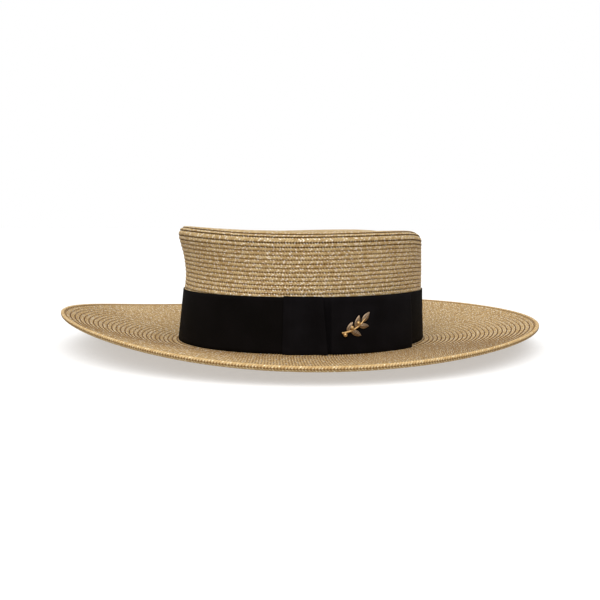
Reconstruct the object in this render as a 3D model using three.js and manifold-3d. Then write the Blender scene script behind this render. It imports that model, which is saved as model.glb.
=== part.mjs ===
// A straw boater hat: a low oval crown, a wide dished brim and a broad ribbon with a flat bow.
// It rests on the flat foot of its brim, which is z = 0, with +Z up. The wearer's front is -Y and
// the wearer's left, where the bow is, is +X. An angle around the hat starts at the front and
// passes the wearer's left. All lengths are in millimetres.

import * as THREE from 'three';
import { mergeVertices } from 'three/addons/utils/BufferGeometryUtils.js';
import Module from 'manifold-3d';

// Crown: outside sizes at its foot, and heights above the top face of the brim's flat foot.
// The peak narrows the rise at the front, and the crown stands a little forward on the brim.
const crownLength = 204;
const crownWidth = 171;
const crownWall = 1.6;
const crownSideHeight = 87.4;
const crownFrontHeight = 91.2;
const crownBackHeight = 88.5;
const crownFrontPeak = 1;
const crownTipHeight = 88;
const crownEdgeRadius = 7;
const crownForward = 1.1;

// Brim: rises are those of the edge's top face above the flat foot's top face. The outline is an
// oval drawn in between its front, sides and back, and the dish is the power that the rise follows.
const brimLength = 387;
const brimWidth = 360;
const brimQuarterDraw = 2;
const brimWall = 1.8;
const brimFlat = 8;
const brimFrontRise = 26.4;
const brimBackRise = 17.4;
const brimSideRise = 10.2;
const brimPeak = 2.45;
const brimDish = 1.35;
const edgeWidth = 4;
const edgeDepth = 3;

// Ribbon: one width and thickness for the band and the bow
const ribbonWidth = 41;
const ribbonThickness = 0.9;
const ribbonFootGap = 0.5;

// Bow: lengths along the band, counted from the middle of the wearer's left towards the back.
// The knot's back edge leans forward towards its top, and the loop's end swells off the band.
const knotFront = -36.5;
const knotBack = -5.5;
const knotLean = 3.5;
const knotRamp = 6;
const knotOver = 0.8;
const loopEnd = 67;
const loopTuck = 10;
const loopSwell = 5;

// Ornament: a small metal sprig on the bow's loop
const sprigAlong = 14;
const sprigHeight = 20.5;
const sprigLength = 28;
const sprigTilt = 0.25;
const leafLength = 10.5;
const leafWidth = 4.6;
const leafThickness = 1.1;
const stemRadius = 0.8;
const berryRadius = 1.7;
const plateRadius = 3.2;
const plateThickness = 0.9;

// Gap between neighbouring pieces, and the fineness of the solids
const clearance = 0.3;
const around = 64;
const wallSteps = 8;
const edgeSteps = 3;
const tipSteps = 4;
const dishSteps = 6;

// How far the crown's wall reaches from its axis, as shares of half its length and width.
// up is the share of the crown's height at its sides.
const wallSections = [
  { up: 0.0, front: 1.0, back: 1.0, side: 1.0 },
  { up: 0.23, front: 0.978, back: 0.991, side: 0.984 },
  { up: 0.46, front: 0.957, back: 0.985, side: 0.968 },
  { up: 0.61, front: 0.946, back: 0.984, side: 0.965 },
  { up: 0.78, front: 0.962, back: 0.979, side: 0.97 },
  { up: 0.92, front: 0.992, back: 0.974, side: 0.975 },
  { up: 1.05, front: 1.005, back: 0.972, side: 0.975 },
];

// Leaves of the sprig: at is the share of the stem from its foot, side is left or right of it,
// size is the share of the leaf length and turn the angle from the stem in radians
const leafRows = [
  { at: 0.2, side: 1, size: 0.78, turn: 0.85 },
  { at: 0.34, side: -1, size: 0.88, turn: 0.8 },
  { at: 0.54, side: 1, size: 0.92, turn: 0.75 },
  { at: 0.68, side: -1, size: 0.82, turn: 0.75 },
  { at: 0.86, side: 1, size: 0.9, turn: 0 },
];

// Berries of the sprig: out is how far the middle is clear of the stem, as a share of the radius
const berryRows = [
  { at: 0.4, side: 1, out: 0.7 },
  { at: 0.1, side: -1, out: 0.6 },
  { at: 0.72, side: 1, out: 0.7 },
];

const crownFoot = brimWall + clearance;
const ribbonFoot = brimWall + ribbonFootGap;

// One column of a table of sections, passed smoothly through its rows
function sectionValue(rows, column, place) {
  const last = rows.length - 1;
  const at = THREE.MathUtils.clamp(place, rows[0].up, rows[last].up);
  let k = 0;
  while (k < last - 1 && at > rows[k + 1].up) {
    k += 1;
  }
  const slope = (i) => {
    const before = rows[Math.max(i - 1, 0)];
    const after = rows[Math.min(i + 1, last)];
    return (after[column] - before[column]) / (after.up - before.up);
  };
  const span = rows[k + 1].up - rows[k].up;
  const s = (at - rows[k].up) / span;
  const start = (1 + 2 * s) * (1 - s) ** 2 * rows[k][column] + s * (1 - s) ** 2 * span * slope(k);
  const end = s * s * (3 - 2 * s) * rows[k + 1][column] - s * s * (1 - s) * span * slope(k + 1);
  return start + end;
}

// A point of the crown's oval in plan, outset from the wall's outer face
function crownPoint(angle, height, outset) {
  const up = (height - crownFoot) / crownSideHeight;
  const column = Math.cos(angle) > 0 ? 'front' : 'back';
  const along = 0.5 * crownLength * sectionValue(wallSections, column, up);
  const side = 0.5 * crownWidth * sectionValue(wallSections, 'side', up);
  const point = new THREE.Vector2(side * Math.sin(angle), -along * Math.cos(angle));
  const normal = new THREE.Vector2(point.x / side ** 2, point.y / along ** 2).normalize();
  point.addScaledVector(normal, outset);
  return new THREE.Vector3(point.x, point.y - crownForward, height);
}

// A height that varies round the hat through its values at the front, the back and the sides
function aroundHeight(angle, front, back, side, peak) {
  const middle = 0.5 * (0.5 * (front + back) + side);
  const twoFold = 0.5 * (0.5 * (front + back) - side);
  const oneFold = 0.5 * (front - back) - peak;
  return middle + oneFold * Math.cos(angle) + twoFold * Math.cos(2 * angle) + peak * Math.cos(3 * angle);
}

// Lofts closed sections into one skin. A section of one point is a pole. The last section joins
// the first, or both end sections are capped.
function skin(sections, ends) {
  const positions = [];
  const starts = [];
  for (const section of sections) {
    starts.push(positions.length / 3);
    section.forEach((p) => positions.push(p.x, p.y, p.z));
  }
  const index = [];
  const spans = ends === 'join' ? sections.length : sections.length - 1;
  for (let k = 0; k < spans; k += 1) {
    const next = (k + 1) % sections.length;
    const count = Math.max(sections[k].length, sections[next].length);
    for (let i = 0; i < count; i += 1) {
      const j = (i + 1) % count;
      const at = (section, place) => starts[section] + (sections[section].length === 1 ? 0 : place);
      if (sections[next].length > 1) {
        index.push(at(k, i), at(next, j), at(next, i));
      }
      if (sections[k].length > 1) {
        index.push(at(k, i), at(k, j), at(next, j));
      }
    }
  }
  if (ends === 'cap') {
    const last = sections.length - 1;
    for (let i = 1; i < sections[0].length - 1; i += 1) {
      index.push(starts[0], starts[0] + i + 1, starts[0] + i);
      index.push(starts[last], starts[last] + i, starts[last] + i + 1);
    }
  }
  const geometry = new THREE.BufferGeometry();
  geometry.setAttribute('position', new THREE.Float32BufferAttribute(positions, 3));
  geometry.setIndex(index);
  return facingOut(geometry);
}

// Turns every face round when the skin encloses a negative volume
function facingOut(geometry) {
  const index = geometry.getIndex().array;
  const position = geometry.getAttribute('position');
  const [a, b, c] = [new THREE.Vector3(), new THREE.Vector3(), new THREE.Vector3()];
  let volume = 0;
  for (let i = 0; i < index.length; i += 3) {
    a.fromBufferAttribute(position, index[i]);
    b.fromBufferAttribute(position, index[i + 1]);
    c.fromBufferAttribute(position, index[i + 2]);
    volume += a.dot(b.cross(c));
  }
  if (volume < 0) {
    for (let i = 0; i < index.length; i += 3) {
      [index[i + 1], index[i + 2]] = [index[i + 2], index[i + 1]];
    }
  }
  geometry.computeVertexNormals();
  return geometry;
}

// A closed section: what makePoint gives for each angle round the hat
function ring(makePoint) {
  return Array.from({ length: around }, (_, i) => makePoint((2 * Math.PI * i) / around));
}

// Height of the crown's edge, where its wall turns into the tip
function rimHeight(angle) {
  const [front, back, side] = [crownFrontHeight, crownBackHeight, crownSideHeight];
  return brimWall + aroundHeight(angle, front, back, side, crownFrontPeak);
}

// The crown's face at a depth below its outside, from the foot of the wall to the tip's middle
function crownFace(depth) {
  const sections = [];
  for (let k = 0; k <= wallSteps; k += 1) {
    sections.push(ring((angle) => {
      const top = rimHeight(angle) - crownEdgeRadius;
      return crownPoint(angle, THREE.MathUtils.lerp(crownFoot, top, k / wallSteps), -depth);
    }));
  }
  for (let k = 1; k <= edgeSteps; k += 1) {
    const turn = (0.5 * Math.PI * k) / edgeSteps;
    const inset = crownEdgeRadius - (crownEdgeRadius - depth) * Math.cos(turn);
    sections.push(ring((angle) => {
      const centre = rimHeight(angle) - crownEdgeRadius;
      return crownPoint(angle, centre + (crownEdgeRadius - depth) * Math.sin(turn), -inset);
    }));
  }
  const tip = new THREE.Vector3(0, -crownForward, brimWall + crownTipHeight - depth);
  for (let k = tipSteps - 1; k > 0; k -= 1) {
    const share = k / tipSteps;
    sections.push(ring((angle) => {
      const rim = crownPoint(angle, rimHeight(angle) - depth, -crownEdgeRadius);
      const point = tip.clone().lerp(rim, share);
      point.z = THREE.MathUtils.lerp(tip.z, rim.z, share ** 2);
      return point;
    }));
  }
  sections.push([tip]);
  return sections;
}

function crownGeometry() {
  return skin([...crownFace(0), ...crownFace(crownWall).reverse()], 'join');
}

// Points of the brim at one angle: the head opening, the end of the flat foot and the outer edge
function brimStations(angle) {
  const inner = crownPoint(angle, crownFoot, -crownWall);
  const flatEnd = crownPoint(angle, crownFoot, brimFlat - crownWall);
  const draw = 0.5 * brimQuarterDraw * (1 - Math.cos(4 * angle));
  const outer = new THREE.Vector3(
    (0.5 * brimWidth - draw) * Math.sin(angle),
    -(0.5 * brimLength - draw) * Math.cos(angle),
    0,
  );
  inner.z = 0;
  flatEnd.z = 0;
  return { inner, flatEnd, outer };
}

// A point of the brim's top face, lowered by drop: share runs from the flat foot to the edge
function brimPoint(angle, share, drop) {
  const { flatEnd, outer } = brimStations(angle);
  const rise = aroundHeight(angle, brimFrontRise, brimBackRise, brimSideRise, brimPeak);
  const point = flatEnd.lerp(outer, share);
  point.z = brimWall + rise * share ** brimDish - drop;
  return point;
}

// Share of the brim at a distance in from its edge
function shareInside(angle, distance) {
  const { flatEnd, outer } = brimStations(angle);
  return 1 - distance / flatEnd.distanceTo(outer);
}

function brimGeometry() {
  const dish = (drop) => Array.from({ length: dishSteps + 1 }, (_, k) => ring(
    (angle) => brimPoint(angle, (shareInside(angle, edgeWidth) * k) / dishSteps, drop),
  ));
  const edge = (distance, drop) => ring(
    (angle) => brimPoint(angle, shareInside(angle, distance), drop),
  );
  const opening = (height) => ring((angle) => brimStations(angle).inner.setZ(height));
  const rounding = 0.25 * edgeDepth;
  return skin([
    opening(brimWall),
    ...dish(0),
    edge(rounding, 0),
    edge(0, rounding),
    edge(0, edgeDepth - rounding),
    edge(rounding, edgeDepth),
    edge(edgeWidth, edgeDepth),
    ...dish(brimWall).reverse(),
    opening(0),
  ], 'join');
}

function bandGeometry() {
  const steps = 4;
  const face = (outset) => Array.from({ length: steps + 1 }, (_, k) => ring(
    (angle) => crownPoint(angle, ribbonFoot + (ribbonWidth * k) / steps, outset),
  ));
  return skin([...face(clearance), ...face(clearance + ribbonThickness).reverse()], 'join');
}

// Angle of the point a length along the band from the middle of the wearer's left
function angleAlong(length) {
  const step = (Math.sign(length) * Math.PI) / 1440;
  const middle = ribbonFoot + 0.5 * ribbonWidth;
  let angle = 0.5 * Math.PI;
  let from = crownPoint(angle, middle, 0);
  let left = Math.abs(length);
  while (left > 0) {
    const to = crownPoint(angle + step, middle, 0);
    const gone = to.distanceTo(from);
    angle += step * Math.min(1, left / gone);
    left -= gone;
    from = to;
  }
  return angle;
}

// A strip of ribbon standing on its edge along a path of lengths along the band and outsets.
// lean gives how far a length is moved back towards the front at the strip's top.
function strip(path, foot, height, lean = () => 0) {
  const levels = [0, 0.5, 1];
  const sections = path.map((point, i) => {
    const before = path[Math.max(i - 1, 0)];
    const after = path[Math.min(i + 1, path.length - 1)];
    const normal = new THREE.Vector2(before.y - after.y, after.x - before.x).normalize();
    const face = (side) => {
      const place = point.clone().addScaledVector(normal, 0.5 * side * ribbonThickness);
      return levels.map((level) => {
        const angle = angleAlong(place.x - level * lean(place.x));
        return crownPoint(angle, foot + level * height, place.y);
      });
    };
    return [...face(-1), ...face(1).reverse()];
  });
  return skin(sections, 'cap');
}

// Outsets of the middles of the bow's layers: on the band, and one and two layers further out
const layer = ribbonThickness + clearance;
const backLayer = layer + clearance + 0.5 * ribbonThickness;

// Outset of the loop's front layer, which swells away from the band towards the loop's end
function loopFront(along) {
  return backLayer + layer + loopSwell * THREE.MathUtils.smoothstep(along, knotBack, loopEnd);
}

function bowLoopGeometry() {
  const runSteps = 18;
  const foldSteps = 8;
  const tucked = knotBack - loopTuck;
  const foldRadius = 0.5 * (loopFront(loopEnd) - backLayer);
  const foldStart = loopEnd - foldRadius;
  const path = [];
  for (let k = 0; k < runSteps; k += 1) {
    path.push(new THREE.Vector2(THREE.MathUtils.lerp(tucked, foldStart, k / runSteps), backLayer));
  }
  for (let k = 0; k <= foldSteps; k += 1) {
    const turn = (Math.PI * k) / foldSteps - 0.5 * Math.PI;
    const out = backLayer + foldRadius * (1 + Math.sin(turn));
    path.push(new THREE.Vector2(foldStart + foldRadius * Math.cos(turn), out));
  }
  for (let k = runSteps - 1; k >= 0; k -= 1) {
    const along = THREE.MathUtils.lerp(tucked, foldStart, k / runSteps);
    path.push(new THREE.Vector2(along, loopFront(along)));
  }
  return strip(path, ribbonFoot, ribbonWidth);
}

function bowKnotGeometry() {
  const steps = 12;
  const path = Array.from({ length: steps + 1 }, (_, k) => {
    const along = THREE.MathUtils.lerp(knotFront, knotBack, k / steps);
    const ramp = THREE.MathUtils.smoothstep(along, knotFront, knotFront + knotRamp);
    return new THREE.Vector2(along, backLayer + 2 * layer * ramp);
  });
  const lean = (along) => knotLean * THREE.MathUtils.smoothstep(along, knotFront, knotBack);
  return strip(path, ribbonFoot, ribbonWidth + knotOver, lean);
}

// Joins closed geometries into one solid
const wasm = await Module();
wasm.setup();
function joined(geometries) {
  const solids = geometries.map((geometry) => {
    const bare = geometry.clone();
    bare.deleteAttribute('normal');
    bare.deleteAttribute('uv');
    const merged = mergeVertices(bare, 1e-4);
    return new wasm.Manifold(new wasm.Mesh({
      numProp: 3,
      vertProperties: new Float32Array(merged.getAttribute('position').array),
      triVerts: new Uint32Array(merged.getIndex().array),
    }));
  });
  const mesh = solids.reduce((whole, solid) => whole.add(solid)).getMesh();
  const geometry = new THREE.BufferGeometry();
  geometry.setAttribute('position', new THREE.BufferAttribute(mesh.vertProperties, 3));
  geometry.setIndex(new THREE.BufferAttribute(mesh.triVerts, 1));
  geometry.computeVertexNormals();
  return geometry;
}

// The sprig's stem lies in the ornament's own plane: x along the ribbon, y up and z outwards
const stemHeight = plateThickness + 0.5 * leafThickness;
const stem = new THREE.QuadraticBezierCurve3(
  new THREE.Vector3(-0.5, -0.1, 0).multiplyScalar(sprigLength - leafLength * 0.5),
  new THREE.Vector3(0, -0.16, 0).multiplyScalar(sprigLength),
  new THREE.Vector3(0.3, 0.1, 0).multiplyScalar(sprigLength),
);

// A point beside the stem and the stem's direction there
function besideStem(at, side, distance) {
  const point = stem.getPoint(at);
  const tangent = stem.getTangent(at);
  const turn = Math.atan2(tangent.y, tangent.x);
  point.x -= side * distance * Math.sin(turn);
  point.y += side * distance * Math.cos(turn);
  return { point, turn };
}

function leafGeometry(length) {
  const shape = new THREE.Shape();
  const half = 0.5 * leafWidth;
  shape.moveTo(0, 0);
  shape.bezierCurveTo(0.25 * length, half * 1.3, 0.65 * length, half * 1.1, length, 0);
  shape.bezierCurveTo(0.65 * length, -half * 1.1, 0.25 * length, -half * 1.3, 0, 0);
  const bevel = 0.35 * leafThickness;
  return new THREE.ExtrudeGeometry(shape, {
    depth: leafThickness - 2 * bevel,
    curveSegments: 5,
    bevelThickness: bevel,
    bevelSize: bevel,
    bevelOffset: -bevel,
    bevelSegments: 1,
  }).translate(0, 0, bevel);
}

function ornamentGeometry() {
  const pieces = [];
  const plate = new THREE.CylinderGeometry(plateRadius, plateRadius, plateThickness + stemRadius, 16);
  pieces.push(plate.rotateX(0.5 * Math.PI).translate(0, 0, 0.5 * (plateThickness + stemRadius)));
  const section = new THREE.Shape().absarc(0, 0, stemRadius, 0, 2 * Math.PI);
  const rod = new THREE.ExtrudeGeometry(section, { extrudePath: stem, steps: 10, curveSegments: 4 });
  pieces.push(rod.translate(0, 0, stemHeight));
  for (const row of leafRows) {
    const { point, turn } = besideStem(row.at, row.side, 0);
    const leaf = leafGeometry(leafLength * row.size).rotateZ(turn + row.side * row.turn);
    pieces.push(leaf.translate(point.x, point.y, plateThickness));
  }
  for (const row of berryRows) {
    const { point } = besideStem(row.at, row.side, stemRadius + row.out * berryRadius);
    const berry = new THREE.IcosahedronGeometry(berryRadius, 1);
    pieces.push(berry.translate(point.x, point.y, stemHeight));
  }
  return joined(pieces);
}

// Places a mesh on the front of the bow's loop, with its own z pointing out of the ribbon
function placeOnLoop(mesh, along, height) {
  const outset = loopFront(along) + 0.5 * ribbonThickness + clearance;
  const at = (place) => crownPoint(angleAlong(place), ribbonFoot + height, outset);
  const tangent = at(along + 1).sub(at(along - 1)).normalize();
  const up = new THREE.Vector3(0, 0, 1);
  const out = new THREE.Vector3().crossVectors(tangent, up).normalize();
  mesh.position.copy(at(along));
  mesh.quaternion.setFromRotationMatrix(new THREE.Matrix4().makeBasis(tangent, up, out));
  mesh.rotateZ(sprigTilt);
}

const straw = { roughness: 0.75, metalness: 0.05 };
const ribbon = { roughness: 0.8, metalness: 0 };
const materials = {
  crownStraw: new THREE.MeshStandardMaterial({ color: '#a9906a', ...straw }),
  brimStraw: new THREE.MeshStandardMaterial({ color: '#b09570', ...straw }),
  ribbon: new THREE.MeshStandardMaterial({ color: '#0f0d0c', ...ribbon }),
  bowRibbon: new THREE.MeshStandardMaterial({ color: '#141212', ...ribbon }),
  brass: new THREE.MeshStandardMaterial({ color: '#8a6a3c', roughness: 0.45, metalness: 0.9 }),
};

const hat = new THREE.Group();

function addPiece(name, geometry, material) {
  const mesh = new THREE.Mesh(geometry, material);
  mesh.name = name;
  hat.add(mesh);
  return mesh;
}

addPiece('crown', crownGeometry(), materials.crownStraw);
addPiece('brim', brimGeometry(), materials.brimStraw);
addPiece('band', bandGeometry(), materials.ribbon);
addPiece('bow_loop', bowLoopGeometry(), materials.bowRibbon);
addPiece('bow_knot', bowKnotGeometry(), materials.bowRibbon);
const ornament = addPiece('ornament', ornamentGeometry(), materials.brass);
placeOnLoop(ornament, sprigAlong, sprigHeight);

export default hat;
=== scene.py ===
import math

import bpy
import numpy as np
from mathutils import Matrix, Vector


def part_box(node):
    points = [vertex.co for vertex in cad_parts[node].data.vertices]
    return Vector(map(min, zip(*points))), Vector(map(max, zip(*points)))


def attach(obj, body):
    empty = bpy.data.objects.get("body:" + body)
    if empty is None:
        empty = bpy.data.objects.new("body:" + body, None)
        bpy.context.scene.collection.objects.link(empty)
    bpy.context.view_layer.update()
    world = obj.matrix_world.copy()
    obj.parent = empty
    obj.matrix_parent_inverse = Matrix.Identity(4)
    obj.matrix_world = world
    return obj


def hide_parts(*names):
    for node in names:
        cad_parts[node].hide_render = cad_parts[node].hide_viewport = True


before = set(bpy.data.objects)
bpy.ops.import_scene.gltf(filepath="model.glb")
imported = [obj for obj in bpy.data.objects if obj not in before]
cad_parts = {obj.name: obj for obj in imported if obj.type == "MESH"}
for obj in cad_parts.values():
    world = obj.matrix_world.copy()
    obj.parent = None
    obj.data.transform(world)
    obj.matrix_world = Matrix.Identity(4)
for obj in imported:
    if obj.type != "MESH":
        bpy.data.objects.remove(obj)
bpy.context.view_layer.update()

# A straw boater hat. The scene is built in millimetres and scaled once, when a mesh is made.
# The row's axes are those of the frame: +Z up, the wearer's front -Y and left +X. An angle
# around the hat starts at the front and passes the wearer's left.
MM = 0.001


def node_size(node):
    low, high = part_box(node)
    return (high - low) / MM


def node_middle(node):
    low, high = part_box(node)
    return (high + low) / (2 * MM)


# Overall sizes come from the frame
CROWN_WIDTH, CROWN_LENGTH, _ = node_size("crown")
BRIM_WIDTH, BRIM_LENGTH, _ = node_size("brim")
RIBBON_WIDTH = node_size("band").z
CROWN_FORWARD = -node_middle("crown").y

# Sizes shared with the part's source
CROWN_WALL = 1.6
CROWN_SIDE_HEIGHT = 87.4
CROWN_FRONT_HEIGHT = 91.2
CROWN_BACK_HEIGHT = 88.5
CROWN_FRONT_PEAK = 1.0
CROWN_TIP_HEIGHT = 88.0
CROWN_EDGE_RADIUS = 7.0
BRIM_QUARTER_DRAW = 2.0
BRIM_WALL = 1.8
BRIM_FLAT = 8.0
BRIM_FRONT_RISE = 26.4
BRIM_BACK_RISE = 17.4
BRIM_SIDE_RISE = 10.2
BRIM_PEAK = 2.45
BRIM_DISH = 1.35
EDGE_WIDTH = 4.0
EDGE_DEPTH = 3.0
RIBBON_FOOT_GAP = 0.5
KNOT_FRONT = -36.5
KNOT_BACK = -5.5
KNOT_LEAN = 3.5
KNOT_RAMP = 6.0
KNOT_OVER = 0.8
LOOP_END = 67.0
LOOP_TUCK = 10.0
LOOP_SWELL = 5.0
SPRIG_ALONG = 14.0
SPRIG_HEIGHT = 20.5
SPRIG_LENGTH = 28.0
SPRIG_TILT = 0.25
CLEARANCE = 0.3
RIBBON_THICKNESS = 0.9

# Heights over what the hat rests on, and outsets from the crown's wall: LAYER is one layer of ribbon,
# and BACK_LAYER the middle of the loop's back, which lies on the band
CROWN_FOOT = BRIM_WALL + CLEARANCE
RIBBON_FOOT = BRIM_WALL + RIBBON_FOOT_GAP
LAYER = RIBBON_THICKNESS + CLEARANCE
BACK_LAYER = LAYER + CLEARANCE + 0.5 * RIBBON_THICKNESS

# Rows of sewn braid, the pitch of the strands along a row, and how deep under the solid's faces the
# surfaces lie that the rows stand up from
WALL_PITCH = 3.07
BRIM_PITCH = 3.4
PLAIT_PITCH = 1.9
CROWN_INSET = 0.12
INSIDE_INSET = 0.1
BRIM_INSET = 0.15

# How far the crown's wall reaches from its axis by height, as shares of half its length and width
SECTIONS = {
    "up": np.array([0.0, 0.23, 0.46, 0.61, 0.78, 0.92, 1.05]),
    "front": np.array([1.0, 0.978, 0.957, 0.946, 0.962, 0.992, 1.005]),
    "back": np.array([1.0, 0.991, 0.985, 0.984, 0.979, 0.974, 0.972]),
    "side": np.array([1.0, 0.984, 0.968, 0.965, 0.97, 0.975, 0.975]),
}


# Shapes shared with the part's source


def section_value(column, up):
    """A column of the crown's sections at a share of its height, passed smoothly through its rows."""
    ups, values = SECTIONS["up"], SECTIONS[column]
    last = len(ups) - 1
    at = np.clip(up, ups[0], ups[last])
    k = np.clip(np.searchsorted(ups, at, side="left") - 1, 0, last - 1)
    before = np.maximum(np.arange(last + 1) - 1, 0)
    after = np.minimum(np.arange(last + 1) + 1, last)
    slope = (values[after] - values[before]) / (ups[after] - ups[before])
    span = ups[k + 1] - ups[k]
    s = (at - ups[k]) / span
    start = (1 + 2 * s) * (1 - s) ** 2 * values[k] + s * (1 - s) ** 2 * span * slope[k]
    end = s * s * (3 - 2 * s) * values[k + 1] - s * s * (1 - s) * span * slope[k + 1]
    return start + end


def crown_reach(angle, height):
    """Half the crown's length and half its width at a height, for the front or the back half."""
    up = (height - CROWN_FOOT) / CROWN_SIDE_HEIGHT
    front = section_value("front", up)
    back = section_value("back", up)
    along = 0.5 * CROWN_LENGTH * np.where(np.cos(angle) > 0, front, back)
    side = 0.5 * CROWN_WIDTH * section_value("side", up)
    return along, side


def crown_point(angle, height, outset):
    """A point at an outset from the crown's outer face."""
    angle, height, outset = np.broadcast_arrays(
        np.asarray(angle, float), np.asarray(height, float), np.asarray(outset, float)
    )
    along, side = crown_reach(angle, height)
    x = side * np.sin(angle)
    y = -along * np.cos(angle)
    normal_x = x / side**2
    normal_y = y / along**2
    size = np.hypot(normal_x, normal_y)
    x = x + outset * normal_x / size
    y = y + outset * normal_y / size
    return np.stack([x, y - CROWN_FORWARD, height], axis=-1)


def around_height(angle, front, back, side, peak):
    """A height that varies round the hat through its values at the front, back and sides."""
    middle = 0.5 * (0.5 * (front + back) + side)
    two_fold = 0.5 * (0.5 * (front + back) - side)
    one_fold = 0.5 * (front - back) - peak
    waves = one_fold * np.cos(angle) + two_fold * np.cos(2 * angle) + peak * np.cos(3 * angle)
    return middle + waves


def rim_height(angle):
    rise = around_height(
        angle, CROWN_FRONT_HEIGHT, CROWN_BACK_HEIGHT, CROWN_SIDE_HEIGHT, CROWN_FRONT_PEAK
    )
    return BRIM_WALL + rise


def brim_stations(angle):
    """The brim's head opening, the end of its flat foot and its outer edge, in plan."""
    inner = crown_point(angle, CROWN_FOOT, -CROWN_WALL)
    flat_end = crown_point(angle, CROWN_FOOT, BRIM_FLAT - CROWN_WALL)
    draw = 0.5 * BRIM_QUARTER_DRAW * (1 - np.cos(4 * angle))
    outer = np.stack(
        [
            (0.5 * BRIM_WIDTH - draw) * np.sin(angle),
            -(0.5 * BRIM_LENGTH - draw) * np.cos(angle),
            np.zeros_like(angle),
        ],
        axis=-1,
    )
    inner[..., 2] = 0
    flat_end[..., 2] = 0
    return inner, flat_end, outer


def brim_face(angle, reach):
    """A point of the brim's top face. A reach of -1 to 0 crosses the flat foot, and 0 to 1 the dish."""
    inner, flat_end, outer = brim_stations(angle)
    out = np.clip(reach, 0, None)[..., None]
    back = np.clip(-reach, 0, 1)[..., None]
    point = flat_end + (outer - flat_end) * out + (inner - flat_end) * back
    rise = around_height(angle, BRIM_FRONT_RISE, BRIM_BACK_RISE, BRIM_SIDE_RISE, BRIM_PEAK)
    point[..., 2] = BRIM_WALL + rise * np.clip(reach, 0, None) ** BRIM_DISH
    return point


# Meshes


def new_object(name, points, faces, uv=None):
    """An object in the scene from points in millimetres, faces and one UV for each face corner."""
    mesh = bpy.data.meshes.new(name)
    mesh.from_pydata((np.asarray(points) * MM).tolist(), [], [list(f) for f in faces])
    if uv is not None:
        layer = mesh.uv_layers.new(name="braid")
        layer.data.foreach_set("uv", np.asarray(uv, np.float32).ravel())
    mesh.polygons.foreach_set("use_smooth", [True] * len(mesh.polygons))
    mesh.update()
    obj = bpy.data.objects.new(name, mesh)
    bpy.context.scene.collection.objects.link(obj)
    return obj


def angles(columns):
    return 2 * np.pi * np.arange(columns) / columns


def ring_length(points):
    return float(np.linalg.norm(np.roll(points, -1, axis=0) - points, axis=-1).sum())


# The lines of one row of plaited braid, by the share of its width from its lapping edge. "past" is
# how far a line runs beyond that share and "height" how high it stands over the surface, each in
# the middle of a strand and between two strands. The edge laps over the row before, and the far
# side is tucked under the next one.
ROW_LINES = [
    {"share": 0.0, "past": (-0.06, 0.06), "height": (0.06, -0.12)},
    {"share": 0.25, "past": (0.0, 0.0), "height": (0.4, 0.2)},
    {"share": 0.5, "past": (0.0, 0.0), "height": (0.4, 0.4)},
    {"share": 0.75, "past": (0.0, 0.0), "height": (0.24, 0.04)},
    {"share": 1.0, "past": (0.25, 0.25), "height": (-0.26, -0.34)},
]

# A row that stands up has its edge turned down to the row before, as one more line
TURNED_DOWN = {"share": 0.0, "past": (0.1, 0.12), "height": (-0.5, -0.5)}

# A strand leans by STRAND_SLANT strands across its lane, and each row starts ROW_TURN of a strand
# further round. LAP_LIFT raises the lap of a row that stands up, and DEEP_GROOVE lowers the row that
# it laps over. UV_MARGIN keeps a row's UVs off the next row's.
STRAND_SLANT = 0.8
ROW_TURN = 0.382
LAP_LIFT = 0.3
DEEP_GROOVE = 0.1
UV_MARGIN = 0.01
MEASURE_STEPS = 180


def strand_slant(share):
    """How far the strands lean at a share of a row: one way to its middle, and then back."""
    within = 2 * share
    return 0.5 - within if within <= 1 else within - 1.5


def facing_out(surface, place, t):
    """Unit normals of a surface, a function of places in rows and angles round the hat."""
    turn_step, row_step, least = 0.001, 0.05, 1e-7
    along = surface(place, t + turn_step) - surface(place, t - turn_step)
    across = surface(place + row_step, t) - surface(place - row_step, t)
    normal = np.cross(along, across)
    size = np.linalg.norm(normal, axis=-1, keepdims=True)
    return np.where(size > least, normal / np.maximum(size, least), [0.0, 0.0, 1.0])


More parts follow.
